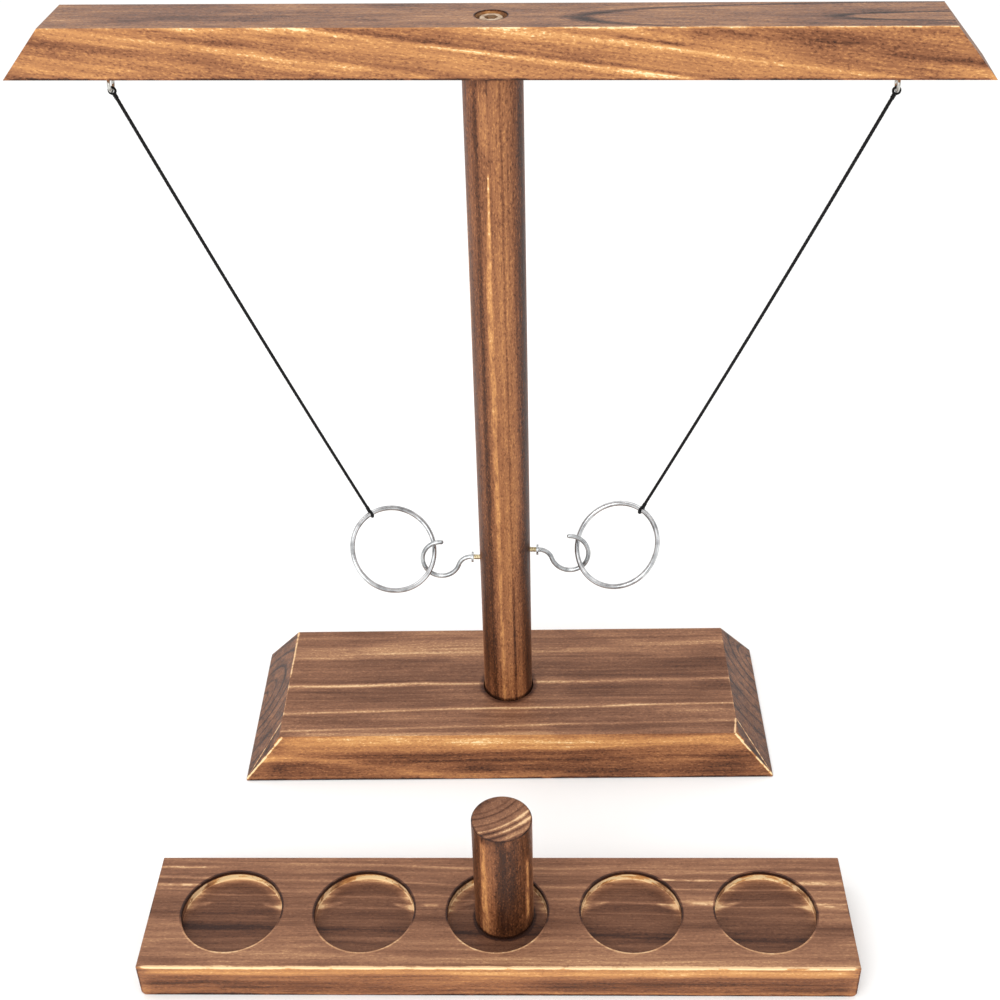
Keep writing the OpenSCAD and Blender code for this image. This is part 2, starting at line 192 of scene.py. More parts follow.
# a closed loop of cord round a wire, and the wrapped knot that starts the cord's run
def loopAndKnot(name, middle, wireLine, far, loopRadius, material, body, node, look):
    run = (far - middle).normalized()
    across = (run - wireLine * run.dot(wireLine)).normalized()
    other = wireLine.cross(across)
    steps = look["loopSteps"]
    circle = []
    for k in range(steps):
        angle = 2 * pi * k / steps
        circle.append(middle + (across * cos(angle) + other * sin(angle)) * loopRadius * mm)
    bm = bmesh.new()
    loopLength = 2 * pi * loopRadius * mm
    laidTube(bm, circle, look["loopDiameter"] / 2 * mm, look["strands"], loopLength / 2, closed=True)
    start = middle + run * (loopRadius - look["knotTuck"]) * mm
    length = (look["knotLength"] + look["knotTuck"]) * mm
    side = run.orthogonal().normalized()
    other = run.cross(side)
    wrapRadius = look["wrapDiameter"] / 2 * mm
    lift = look["knotDiameter"] / 2 * mm - wrapRadius
    count = look["knotTurns"] * look["turnSteps"]
    wraps = []
    for k in range(count + 1):
        along = wrapRadius + (length - 2 * wrapRadius) * k / count
        angle = 2 * pi * k / look["turnSteps"]
        wraps.append(start + run * along + (side * cos(angle) + other * sin(angle)) * lift)
    laidTube(bm, wraps, wrapRadius, look["strands"], look["wrapLay"] * mm,
             sides=look["wrapSides"], groove=look["wrapGroove"])
    core = [start + run * length * k / look["coreSteps"] for k in range(look["coreSteps"] + 1)]
    laidTube(bm, core, look["diameter"] * look["coreRadius"] * mm, look["strands"], look["layLength"] * mm)
    piece = newPiece(name, bm, material, body)
    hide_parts(node)
    return piece


cordMaterial = laidPolyester(cordLook)
for hand in ("left", "right"):
    body = hand + "_cord"
    eye = Vector(joints[hand + "_swing"]["pos_m"])
    tie = Vector(cordLook[hand + "Tie"]) * mm
    ringMiddle = Vector(joints[hand + "_ring_turn"]["pos_m"])
    ringAxis = Vector(joints[hand + "_ring_turn"]["axis"]).normalized()
    beamAcross = Vector(joints[hand + "_swing"]["axis"]).normalized()
    ringLine = ringAxis.cross((tie - ringMiddle).normalized()).normalized()
    topLoop = loopAndKnot(hand + "TopLoop", eye, beamAcross, tie, cordLook["topLoop"],
                          cordMaterial, body, hand + "_top_loop", cordLook)
    ringLoop = loopAndKnot(hand + "RingLoop", tie, ringLine, eye, cordLook["ringLoop"],
                           cordMaterial, body, hand + "_ring_loop", cordLook)
    run = (tie - eye).normalized()
    start = eye + run * (cordLook["topLoop"] + cordLook["knotLength"]) * mm
    end = tie - run * (cordLook["ringLoop"] + cordLook["knotLength"]) * mm
    down = (Vector((0, 0, -1)) + run * run.z).normalized()
    path = []
    for k in range(cordLook["runSteps"] + 1):
        share = k / cordLook["runSteps"]
        bow = down * 4 * cordLook["sag"] * mm * share * (1 - share)
        path.append(start + (end - start) * share + bow)
    tube = laidTube(bmesh.new(), path, cordLook["diameter"] / 2 * mm,
                    cordLook["strands"], cordLook["layLength"] * mm)
    string = newPiece(hand + "String", tube, cordMaterial, body)
    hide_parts(hand + "_string")


# Timber: softwood scorched with a torch, brushed and oiled

# Colours by tone: 0 is char, the middle is scorched wood, 1 is pale wood that the brush laid bare.
# painted highlights raise the tone and painted shade lowers it, in the looks below
timberColours = {
    "side": [
        (0.0, "#2e160b"), (0.15, "#4f2c17"), (0.3, "#74462b"), (0.45, "#935f3c"), (0.6, "#b0784a"),
        (0.75, "#c68b54"), (0.88, "#dea86a"), (1.0, "#f6dba8"),
    ],
    "top": [
        (0.0, "#331c14"), (0.2, "#583625"), (0.4, "#704a35"), (0.55, "#855b43"), (0.7, "#9c7052"),
        (0.85, "#bb8d66"), (1.0, "#e3bd90"),
    ],
    "greyTop": [
        (0.0, "#2b1d19"), (0.2, "#50392f"), (0.4, "#745241"), (0.55, "#8b644b"), (0.7, "#a07555"),
        (0.85, "#b98c66"), (1.0, "#dfbc92"),
    ],
    "end": [
        (0.0, "#2b1a14"), (0.25, "#4f3527"), (0.45, "#704b36"), (0.65, "#8f6547"), (0.85, "#b58b63"),
        (1.0, "#e6c69b"),
    ],
}

# Noises drawn out along the grain: mm along it, mm across it, detail, and what is added to the seed.
grainNoises = {
    "slow": (95, 24, 1.0, 0),        # how the growth rings wander along the trunk
    "quick": (26, 5, 2.0, 9),        # the finer part of that
    "streak": (120, 2.2, 3.0, 3),    # drawn-out scorch streaks, about 2 mm wide
    "cloud": (45, 8, 2.0, 5),        # where the flame stayed longer
    "fibre": (9, 0.6, 2.0, 7),       # brushed fibres, 0.6 mm apart so that they show
    "pores": (1.5, 0.7, 1.0, 11),    # open pores, 1.5 mm long, drawn 0.7 mm apart so that they show
    "gaps": (9, 2.5, 2.0, 13),       # breaks in the worn edges, the narrow streaks, and the narrow painted highlights and shadows
    "patches": (22, 5, 2.0, 17),     # breaks up the painted light in the recesses
}

brushed = {
    "endFrom": (0.45, 0.65), "topFrom": (0.6, 0.95),     # cosines where end grain and top start and are full
    "softOut": 1.6, "softIn": 0.2,       # a streak fades between these multiples of its half width
    "shortestFade": 0.5,                 # mm
    "wanderFrom": 1, "wholeFrom": 2,     # mm of half width; wider streaks follow the rings, and are unbroken
    "quickShare": 0.3,                   # of the slow wander
    "pit": (0.55, 0.72), "speck": (0.44, 0.28),          # of the pores' noise: the pores, and pale specks
    "pitDeep": -0.8, "streakHigh": 0.8, "relief": 0.16,  # shares of a fibre's height, and that height in mm
}


# Torched softwood: growth rings stand as dark and golden bands, the scorch is deepest in the soft
# early wood, brushing leaves fine pores and fibres, and worn edges show the pale wood below.
# Painted highlights, painted shadows and painted shade in recesses are laid into the colour too.
def torchedSoftwood(name, look):
    material, tree = newMaterial(name)
    coords = tree.nodes.new("ShaderNodeTexCoord")
    alongZ = look["grain"] == "z"
    own = addNode(tree, "Mapping", {
        0: coords.outputs["Object"], "Location": [v * mm for v in look["place"]],
        "Rotation": (0, 0, radians(look["turn"])), "Scale": (mm, mm, mm),
    }, vector_type="TEXTURE")
    apart = tree.nodes.new("ShaderNodeSeparateXYZ")
    tree.links.new(own, apart.inputs[0])
    xOwn, yOwn, zOwn = apart.outputs

    # one of the noises that are drawn out along the grain
    def grainNoise(point, kind, colour=False):
        along, across, detail, seedStep = grainNoises[kind]
        shift = look["seed"] + seedStep
        sizes = (1 / across, 1 / across, 1 / along) if alongZ else (1 / along, 1 / across, 1 / across)
        placed = addNode(tree, "Mapping", {
            0: point, "Location": (shift, shift * 1.7, shift * 0.6), "Scale": sizes,
        })
        return addNode(tree, "TexNoise", {
            0: placed, "Scale": 1.0, "Detail": detail, "Roughness": 0.55,
        }, out=1 if colour else 0)

    # parts multiplied into one mask: a part is a mask already made, or a value with where it starts,
    # where it is full and, if they aren't 0 and 1, the mask's own values there
    def softMask(*parts):
        mask = None
        for part in parts:
            if isinstance(part, tuple):
                inputs = dict(enumerate(part))
                part = addNode(tree, "MapRange", inputs, interpolation_type="SMOOTHSTEP")
            if mask is not None:
                part = addNode(tree, "Math", {0: mask, 1: part}, operation="MULTIPLY")
            mask = part
        return mask

    # a soft streak from start to stop: half width at each end, and how much of its length fades
    def streakAlong(point, start, stop, wideFrom, wideTo, fade):
        start, stop = Vector(start), Vector(stop)
        reach = (stop - start).length
        way = (stop - start) / reach
        offset = addNode(tree, "VectorMath", {0: point, 1: start}, operation="SUBTRACT")
        aside = addNode(tree, "VectorMath", {0: offset, 1: way}, operation="CROSS_PRODUCT")
        away = addNode(tree, "VectorMath", {0: aside}, out=1, operation="LENGTH")
        run = addNode(tree, "VectorMath", {0: offset, 1: way}, out=1, operation="DOT_PRODUCT")
        wide = addNode(tree, "MapRange", {0: run, 1: 0.0, 2: reach, 3: wideFrom, 4: wideTo})
        share = addNode(tree, "Math", {0: away, 1: wide}, operation="DIVIDE")
        ends = max(reach * fade, brushed["shortestFade"])
        return softMask((share, brushed["softOut"], brushed["softIn"]),
                        (run, -0.01, ends), (run, reach + 0.01, reach - ends))

    # which way the surface faces: end grain, top or side
    facing, upward = [
        addNode(tree, "VectorMath", {0: coords.outputs["Normal"], 1: axis}, out=1, operation="DOT_PRODUCT")
        for axis in ((0, 0, 1) if alongZ else (1, 0, 0), (0, 0, 1))
    ]
    facing = addNode(tree, "Math", {0: facing}, operation="ABSOLUTE")
    endFace = softMask((facing, *brushed["endFrom"]))
    topFace = softMask((upward, *brushed["topFrom"]))

    # the growth rings wander a little along the trunk
    bent = own
    for kind, share in (("slow", 1.0), ("quick", brushed["quickShare"])):
        noise = addNode(tree, "VectorMath", {
            0: grainNoise(own, kind, colour=True), 1: (0.5, 0.5, 0.5),
        }, operation="SUBTRACT")
        bent = addNode(tree, "VectorMath", {
            0: noise, 1: [look["wander"] * share] * 3, 2: bent,
        }, operation="MULTIPLY_ADD")

    # tone of each growth ring, by its distance from the pith
    def ringTone(pith, lean, years):
        offset = addNode(tree, "VectorMath", {0: bent, 1: pith}, operation="SUBTRACT")
        line = Vector(lean).normalized()
        aside = addNode(tree, "VectorMath", {0: offset, 1: line}, operation="CROSS_PRODUCT")
        distance = addNode(tree, "VectorMath", {0: aside}, out=1, operation="LENGTH")
        near, far = years[0][0], years[-1][0]
        place = addNode(tree, "MapRange", {0: distance, 1: near, 2: far})
        return addNode(tree, "ValToRGB", {0: place}, stops=[((d - near) / (far - near), t) for d, t in years])

    # the top or the ends may have rings of their own
    tone = ringTone(look["pith"], look["lean"], look["years"])
    if "topYears" in look:
        topTone = ringTone(look["pith"], look["lean"], look["topYears"])
        tone = addNode(tree, "Mix", {0: topFace, 2: tone, 3: topTone})
    if "endYears" in look:
        endTone = ringTone(look["endPith"], look["endLean"], look["endYears"])
        tone = addNode(tree, "Mix", {0: endFace, 2: tone, 3: endTone})

    # what lies on the rings, each a mask and what it adds to the tone; streaks follow the sloping grain
    layers = []
    grain = addNode(tree, "Mapping", {0: bent, "Rotation": (0, radians(look["slope"]), 0)})
    streak, cloud, fibre, pores = [grainNoise(grain, kind) for kind in ("streak", "cloud", "fibre", "pores")]
    for noise, gain in ((streak, look["streak"]), (cloud, look["cloud"]), (fibre, look["fibre"])):
        layers.append((addNode(tree, "Math", {0: noise, 1: 0.5}, operation="SUBTRACT"), gain))
    pit = softMask((pores, *brushed["pit"]))
    speck = softMask((pores, *brushed["speck"]))
    layers += [(pit, -look["pore"]), (speck, look["pore"])]
    layers += [(endFace, look["endTone"]), (topFace, look["topTone"])]

    # worn edges, the strongest streaks, painted highlights and painted shadows, broken up along their length
    broken = softMask((grainNoise(own, "gaps"), 0.34, 0.6, 0.4, 1.0))
    for start, stop, wideFrom, wideTo, gain, fade in look["streaksWearAndPaintedLight"]:
        widest = max(wideFrom, wideTo)
        point = bent if widest > brushed["wanderFrom"] else own
        glow = streakAlong(point, start, stop, wideFrom, wideTo, fade)
        layers.append((glow if widest > brushed["wholeFrom"] else softMask(glow, broken), gain))

    # painted shadow: dark rings round a foot, a hole and a rim, where shade falls
    for middle, radius, wide, gain in look["shadeRings"]:
        offset = addNode(tree, "VectorMath", {0: own, 1: middle}, operation="SUBTRACT")
        flat = addNode(tree, "VectorMath", {0: offset, 1: (1, 1, 0)}, operation="MULTIPLY")
        away = addNode(tree, "VectorMath", {0: flat}, out=1, operation="LENGTH")
        beside = addNode(tree, "Math", {0: away, 1: radius}, operation="SUBTRACT")
        above = addNode(tree, "VectorMath", {0: offset, 1: (0, 0, 1)}, out=1, operation="DOT_PRODUCT")
        both = addNode(tree, "CombineXYZ", {0: beside, 1: above})
        near = addNode(tree, "VectorMath", {0: both}, out=1, operation="LENGTH")
        layers.append((softMask((near, wide * brushed["softOut"], wide * brushed["softIn"])), gain))

    # the recesses: painted shade over each whole recess, a painted lit crescent and lit wall on the far side,
    # painted glints on the floor, a painted highlight on the near rim, and a painted shadow round the far rim
    # and the wall's upper part
    if "cups" in look:
        cups = look["cups"]
        radius, rimLevel = cups["radius"], cups["rim"]
        shadowLevel = rimLevel - cups["shadowDepth"]
        floorLevel = rimLevel - cups["deep"]
        half = cups["pitch"] / 2
        folded = addNode(tree, "Math", {0: xOwn, 1: half, 2: -half}, operation="WRAP")
        flat = addNode(tree, "CombineXYZ", {0: folded, 1: yOwn})
        away = addNode(tree, "VectorMath", {0: flat}, out=1, operation="LENGTH")

        # parts of the masks, in mm: measured by, where it starts, where it is full
        insideEdge = (away, radius + 0.35, radius - 0.1)
        insideTop = (zOwn, rimLevel, rimLevel - 0.9)
        wallEdge = (away, radius - 0.7, radius - 0.15)
        wallFoot = (zOwn, floorLevel - 1.6, floorLevel + 0.4)
        litCrescentEdge = (away, radius - 4.8, radius + 0.3)
        rimInner = (away, radius - 0.3, radius)
        rimOuter = (away, radius + 1.1, radius + 0.6)
        highlightTop = (zOwn, rimLevel - 1.0, rimLevel - 0.6)
        shadowTop = (zOwn, shadowLevel - 1.0, shadowLevel)
        highlightFront = (yOwn, -6, -18)
        shadowBack = (yOwn, -12, 0)

        inside = softMask(insideEdge, insideTop)
        behind = softMask((yOwn, -6, 9, 0.05, 1.0))
        patches = softMask((grainNoise(own, "patches"), 0.3, 0.6, 0.55, 1.0))
        lower = softMask((zOwn, shadowLevel, shadowLevel - 1.0))
        rim = softMask(rimInner, rimOuter)
        # painted shade inside, painted light on the far wall and in a crescent along it
        layers += [
            (inside, cups["floor"]),
            (softMask(wallEdge, behind, lower, wallFoot, patches), cups["litWall"]),
            (softMask(inside, lower, litCrescentEdge, behind, patches), cups["litCrescent"]),
        ]
        # painted glints on the floor
        for start, stop, wideFrom, wideTo, gain in cups["glints"]:
            glint = streakAlong(flat, (*start, 0), (*stop, 0), wideFrom, wideTo, cups["glintFade"])
            layers.append((softMask(glint, inside, patches), gain))
        # painted highlight on the near rim, painted shadow round the far rim
        layers += [
            (softMask(rim, highlightTop, highlightFront), cups["rimHighlight"]),
            (softMask(rim, shadowTop, shadowBack), cups["rimShadow"]),
        ]

    for mask, gain in layers:
        tone = addNode(tree, "Math", {0: mask, 1: gain, 2: tone}, operation="MULTIPLY_ADD")

    # end grain drinks the flame and goes darker, and tops are greyer than sides
    sideColour, topColour, endColour = [
        addNode(tree, "ValToRGB", {0: tone}, stops=timberColours[kind])
        for kind in ("side", look["topColours"], "end")
    ]
    colour = addNode(tree, "Mix", {0: topFace, 6: sideColour, 7: topColour}, out=2, data_type="RGBA")
    endShare = addNode(tree, "Math", {0: endFace, 1: look["endMix"]}, operation="MULTIPLY")
    colour = addNode(tree, "Mix", {0: endShare, 6: colour, 7: endColour}, out=2, data_type="RGBA")

    # brushed relief: fibres stand, pores sink
    relief = fibre
    for source, gain in ((pit, brushed["pitDeep"]), (streak, brushed["streakHigh"])):
        relief = addNode(tree, "Math", {0: source, 1: gain, 2: relief}, operation="MULTIPLY_ADD")
    bump = addNode(tree, "Bump", {"Strength": 0.55, "Distance": brushed["relief"] * mm, "Height": relief})
    roughness = softMask((fibre, 0.3, 0.7, look["roughness"] - 0.07, look["roughness"] + 0.08))
    shader = addNode(tree, "BsdfPrincipled", {
        "Base Color": colour, "Roughness": roughness, "IOR": 1.5, "Specular IOR Level": 0.24, "Normal": bump,
    })
    addNode(tree, "OutputMaterial", {0: shader})
    return material


timberMesh = {
    "weld": 0.002,                      # mm, points this near are one
    "flatWithin": 0.4,                  # degrees between facets of one face
    "sharpFrom": 40,                    # degrees
    "easeFrom": 24, "easeSteps": 3,     # degrees, and steps in each eased edge
}


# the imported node's own shape, its flat faces made whole again and every edge eased
def timberPiece(name, node, body, look):
    bm = bmesh.new()
    bm.from_mesh(frame["nodes"][node].data)
    bmesh.ops.remove_doubles(bm, verts=bm.verts, dist=timberMesh["weld"] * mm)
    flatWithin = radians(timberMesh["flatWithin"])
    bmesh.ops.dissolve_limit(bm, angle_limit=flatWithin, verts=bm.verts, edges=bm.edges)
    material = torchedSoftwood("torchedSoftwood" + name[0].upper() + name[1:], look)
    piece = newPiece(name, bm, material, body, sharpFrom=timberMesh["sharpFrom"])
    bevel = piece.modifiers.new("easedEdges", "BEVEL")
    bevel.width = look["easing"] * mm
    bevel.segments = timberMesh["easeSteps"]
    bevel.limit_method = "ANGLE"
    bevel.angle_limit = radians(timberMesh["easeFrom"])
    bevel.harden_normals = True
    bevel.use_clamp_overlap = True
    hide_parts(node)
    print(name, "timber made")


common = {
    "streak": 0.5, "cloud": 0.4, "fibre": 0.3, "pore": 0.1, "wander": 3.0, "roughness": 0.5, "slope": 0,
    "endTone": 0.0, "endMix": 0.9, "topTone": 0.0, "topColours": "top", "easing": 0.6, "shadeRings": [],
}

# Years, topYears and endYears are (mm from the pith, tone). Streak lines are start, stop, half width at each
# end,
# gain and fade: grain streaks, worn edges, painted highlights and painted shade. Shade rings are middle,
# radius, half width and gain, and paint shadow. All are in the piece's own mm.
baseLook = dict(common, **{
    "place": (0, 0, 0), "turn": 0, "grain": "x", "seed": 2.0, "topTone": 0.1, "endTone": -0.17,
    "endMix": 0.5, "streak": 0.62, "cloud": 0.56, "pore": 0.14,
    "pith": (0, 40, -35.5), "lean": (1, 0.02, 0),
    "shadeRings": [((0, 0, 24.5), 13.6, 1.7, -0.34)],
    "years": [
        (36, .4), (41, .5), (42, .3), (49, .48), (50, .35), (57, .46), (60, .44), (61.2, .7),
        (62.6, .4), (64.6, .3), (67, .4), (70.3, .36), (71.3, .82), (72.6, .38), (74.6, .28), (78, .42),
        (83.2, .44), (84, .78), (85.1, .36), (87.6, .46), (92.5, .42), (93.3, .68), (94.4, .36),
        (96.5, .4), (99.5, .46), (101, .4),
    ],
    "endPith": (0, 28, 2), "endLean": (1, 0.1, 0),
    "endYears": [
        (0, .5), (3, .55), (4, .2), (5.2, .5), (9, .56), (10, .22), (11.5, .5), (16, .5), (17, .14),
        (18.6, .46), (24, .52), (25.4, .18), (27, .5), (32, .55), (33, .26), (34.5, .5), (41, .4),
        (42, .2), (43.5, .46), (50, .5), (51, .24), (52.5, .42), (60, .46), (61, .2), (63, .44),
        (74, .4),
    ],
    "streaksWearAndPaintedLight": [
        ((-128, -40.2, 20.2), (74, -40.2, 20.2), 4.6, 3.4, 0.38, 0.1),
        ((56, -40.0, 20.8), (128, -40.0, 20.8), 2.6, 2.0, 0.18, 0.2),
        ((-116, -37.0, 24.5), (30, -37.6, 24.5), 3.0, 1.6, 0.2, 0.1),
        ((-30, -42.0, 14.4), (122, -39.6, 21.8), 1.2, 1.6, 0.1, 0.25),
        # painted shade: darker towards the bottom of the front
        ((-130, -44.2, 7.4), (130, -44.2, 7.4), 5.0, 5.0, -0.17, 0.05),
        # a pale streak low on the front, then worn edges at the ends and the front corners, with darker lines
        # inside the corner facets
        ((40, -43.2, 10.6), (128, -43.4, 10), 1.2, 1.6, 0.16, 0.3),
        ((-118.8, 6, 24.5), (-118.8, 46, 24.5), 0.5, 0.8, 0.75, 0.06),
        ((-118.8, -24, 24.5), (-118.8, 6, 24.5), 0.35, 0.35, 0.35, 0.1),
        ((118.8, -26, 24.5), (118.8, 14, 24.5), 0.3, 0.3, 0.3, 0.2),
        ((-117, -38.75, 24.5), (-137.5, -46.15, 1.5), 0.55, 0.7, 0.95, 0.02),
        ((-118.8, -27.25, 24.5), (-137.5, -46.15, 1.5), 0.4, 0.5, 0.8, 0.02),
        ((117, -38.75, 24.5), (137.5, -46.15, 1.5), 0.55, 0.7, 0.95, 0.02),
        ((118.8, -27.25, 24.5), (137.5, -46.15, 1.5), 0.45, 0.5, 0.95, 0.02),
        ((118.8, -27.25, 24.5), (117, -38.75, 24.5), 0.4, 0.6, 0.8, 0.02),
        ((-125, -37.5, 17.5), (-136.6, -45, 3), 1.0, 0.7, -0.35, 0.05),
        ((125, -37.5, 17.5), (136.6, -45, 3), 1.0, 0.7, -0.35, 0.05),
        # painted shadow along the bottom front edge, where the base stands on the floor
        ((-138, -46.1, 0), (138, -46.1, 0), 1.3, 1.3, -0.7, 0.02),
        # a darker patch on the top
        ((24, 6, 24.5), (124, 10, 24.5), 16, 16, -0.08, 0.1),
    ],
})
postLook = dict(common, **{
    "place": (0, 0, 0), "turn": -2.9, "grain": "z", "seed": 5.0, "wander": 1.0, "streak": 0.3,
    "cloud": 0.22, "pore": 0.16,
    "pith": (-55, -8, 0), "lean": (-0.004, 0, 1), "roughness": 0.45,
    "shadeRings": [((0, 0, 24.5), 12.7, 1.4, -0.35), ((0, 0, 362.4), 12.7, 1.2, -0.3)],
    "years": [
        (38, .3), (42.9, .5), (43.3, .32), (44.2, .24), (45.4, .24), (46.8, .32), (48, .3), (48.8, .2),
        (50, .22), (51, .36), (54.4, .38), (55, .28), (56, .44), (58, .52), (59.4, .5), (60.1, .34),
        (61, .5), (63.2, .46), (64.5, .32), (66, .22), (68.2, .2), (70, .3),
    ],
    "streaksWearAndPaintedLight": [
        # painted highlight: a pale gold streak down the front, in three pieces
        ((-1.9, -12.5, 322), (-2.8, -12.4, 262), 0.4, 1.5, 0.44, 0.03),
        ((-2.8, -12.4, 264), (-1.9, -12.5, 131), 1.5, 1.5, 0.38, 0.0210),
        ((-1.9, -12.5, 134), (-1.0, -12.6, 16), 1.5, 1.3, 0.32, 0.0240),
        # painted shade down the left side
        ((-9.2, -8.8, 16), (-9.2, -8.8, 330), 4.4, 3.4, -0.02, 0.2),
        # painted highlight: the streak's top under the beam, and a pale line along the left edge
        ((-4.0, -12.0, 362), (-3.2, -12.3, 326), 3.0, 2.1, 0.18, 0.3),
        ((-12.3, -3.0, 320), (-12.3, -3.0, 200), 1.0, 1.0, 0.44, 0.3),
        # painted shade low on the right
        ((8.0, -9.8, 16), (9.0, -9.0, 150), 5.0, 3.0, -0.12, 0.3),
        # a dark line in the wood
        ((4.4, -11.9, 20), (4.8, -11.7, 110), 0.8, 0.8, -0.19, 0.2),
        # painted shade low on the left, and down the right edge
        ((-9.2, -8.8, 16), (-9.2, -8.8, 150), 4.2, 3.0, -0.14, 0.3),
        ((11.6, -5.2, 16), (11.6, -5.2, 362), 2.6, 2.6, -0.14, 0.05),
    ],
})
beamLook = dict(common, **{
    "place": (0, 0, 0), "turn": -2.9, "grain": "x", "seed": 8.0, "wander": 2.4, "slope": -7.4,
    "streak": 0.6, "cloud": 0.6, "pore": 0.17,
    "pith": (0, -3, 406.4), "lean": (1, 0, -0.13), "topColours": "greyTop",
    "topYears": [
        (0, .5), (3.6, .58), (4.3, .62), (4.9, .06), (6.6, .42), (11, .52), (15.6, .56), (17.2, .5),
        (17.9, .04), (19.2, .62), (21, .5), (26, .56), (31, .46), (36, .54), (42, .46), (50, .54),
        (58, .48), (71, .5),
    ],
    "shadeRings": [((0, 0, 383.4), 6.75, 0.42, -0.5)],
    "years": [
        (0, .5), (4.4, .55), (5, .22), (6.4, .44), (12, .53), (16.2, .48), (17, .42), (18, .36),
        (19.2, .48), (21, .58), (23.2, .6), (24.6, .64), (25.4, .78), (26.6, .66), (29, .6),
        (31.5, .58), (33.6, .42), (34.4, .6), (35.1, .84), (36.4, .68), (40, .61), (44.6, .48),
        (46.4, .56), (47.5, .68), (49, .58), (53.5, .5), (56, .62), (58, .52), (64, .62), (68, .5),
        (71, .56),
    ],
    "streaksWearAndPaintedLight": [
        ((-133, -15.5, 383), (-60, -15.5, 381.8), 0.8, 1.8, 0.22, 0.2),
        ((-66, -15.5, 382.3), (82, -15.5, 362.9), 1.5, 0.8, 0.14, 0.08),
        ((0, -15.5, 383.6), (104, -15.5, 370.5), 1.6, 0.7, 0.11, 0.12),
        ((-66, -15.5, 369.6), (-22, -15.5, 362.8), 1.2, 1.2, 0.2, 0.15),
        ((30, -15.5, 383.2), (196, -15.5, 383.2), 1.6, 0.9, 0.14, 0.1),
        # the worn top front edge, with a painted highlight along it
        ((-6, -15.5, 383.6), (190, -15.5, 383.6), 0.6, 0.5, 0.36, 0.06),
        ((-190, -15.5, 383.5), (-6, -15.5, 383.5), 0.5, 0.5, 0.1, 0.1),
        # dark streaks along the sloping grain, then a pale streak and darker patches
        ((-134, -15.5, 380.3), (-92, -15.5, 375.4), 0.9, 1.2, -0.3, 0.3),
        ((-60, -15.5, 380.8), (-20, -15.5, 375.6), 0.8, 0.9, -0.3, 0.3),
        ((44, -15.5, 380.6), (84, -15.5, 375.4), 0.7, 0.7, -0.3, 0.3),
        ((112, -15.5, 380.4), (150, -15.5, 375.6), 0.8, 0.8, -0.26, 0.3),
        ((-192, -15.5, 372), (-130, -15.5, 365), 1.4, 1.4, 0.16, 0.3),
        ((-174, -4.8, 383.6), (-62, -3, 383.6), 3.0, 5.0, -0.12, 0.3),
        ((110, -15.5, 374), (192, -15.5, 368), 7.0, 8.0, -0.12, 0.3),
        # painted shade along the bottom front edge, and inside the bolt's recess on top
        ((-200, -15.5, 362.4), (200, -15.5, 362.4), 0.8, 0.8, -0.5, 0.02),
        ((0, 0, 383.2), (0, 0, 374), 6.2, 6.2, -0.12, 0.05),
    ],
})
ladderLook = dict(common, **{
    "place": (-4.2, -147.9, 0), "turn": -0.5, "grain": "x", "seed": 13.0, "topTone": 0.11,
    "streak": 0.66,
    "pith": (0, 70, -40), "lean": (1, -0.028, 0),
    "shadeRings": [((3.2, 1.3, 14.5), 13.7, 1.0, -0.36)],
    "years": [
        (50, .4), (60, .46), (61, .3), (69, .42), (73.5, .44), (74.1, .62), (75, .42), (78, .36),
        (80.3, .42), (80.9, .66), (81.8, .4), (85.2, .42), (85.7, .6), (86.6, .4), (90, .38),
        (94.5, .32), (96.2, .16), (97.6, .32), (100, .42), (104, .5), (108, .5), (111, .46),
        (113.6, .54), (115.5, .5), (117, .42), (120, .5),
    ],
    "streaksWearAndPaintedLight": [
        ((-160, -31.5, 19.4), (160, -31.5, 19.4), 0.9, 0.9, 0.8, 0.01),
        ((-160, -31.6, 16.8), (160, -31.6, 16.8), 2.2, 2.2, 0.2, 0.02),
        # painted shade: darker towards the bottom of the front, and a painted shadow along the bottom edge
        ((-160, -31.6, 7), (160, -31.6, 7), 4.8, 4.8, -0.17, 0.02),
        ((-160, -31.6, 0), (160, -31.6, 0), 1.1, 1.1, -0.6, 0.02),
        # darker outlines at the ends, then pale streaks in the top's grain
        ((-161, -31.6, 1), (-161, -31.6, 19), 0.9, 0.9, -0.4, 0.1),
        ((161, -31.6, 1), (161, -31.6, 19), 0.9, 0.9, -0.4, 0.1),
        ((-164, 15.3, 19.5), (-108, 14.8, 19.5), 1.0, 0.6, 0.42, 0.12),
        ((-164, 25.8, 19.5), (-132, 25.8, 19.5), 0.9, 0.6, 0.4, 0.12),
        ((70, 18.2, 19.5), (164, 15.8, 19.5), 0.6, 1.6, 0.5, 0.08),
        ((84, 4.6, 19.5), (164, 2.4, 19.5), 0.8, 1.5, 0.46, 0.08),
        ((-36, 3.4, 19.5), (-26, 3.2, 19.5), 0.8, 0.8, 0.3, 0.3),
        ((-150, -27.5, 19.5), (150, -27.5, 19.5), 2.6, 2.6, 0.1, 0.1),
    ],
    "cups": {
        # mm: pitch, radius, rim, depth, and the painted shadow's reach below the rim; tones: painted shade
        # inside, painted light on the far side, painted rim highlight and rim shadow
        "pitch": 61.4, "radius": 23.05, "rim": 19.5, "deep": 5.0, "shadowDepth": 1.3, "floor": -0.2,
        "litCrescent": 0.54, "litWall": 0.3, "rimHighlight": 0.26, "rimShadow": -0.44,
        "glintFade": 0.3,     # of a glint's length, at each end
        # painted highlights: pale wedges in the plane of the floor: start, stop, half width at each end, gain
        "glints": [((-24, 5.5), (-9, 9.5), 2.0, 0.5, 0.38), ((24, 5.0), (11, 8.5), 2.1, 0.5, 0.4)],
    },
})
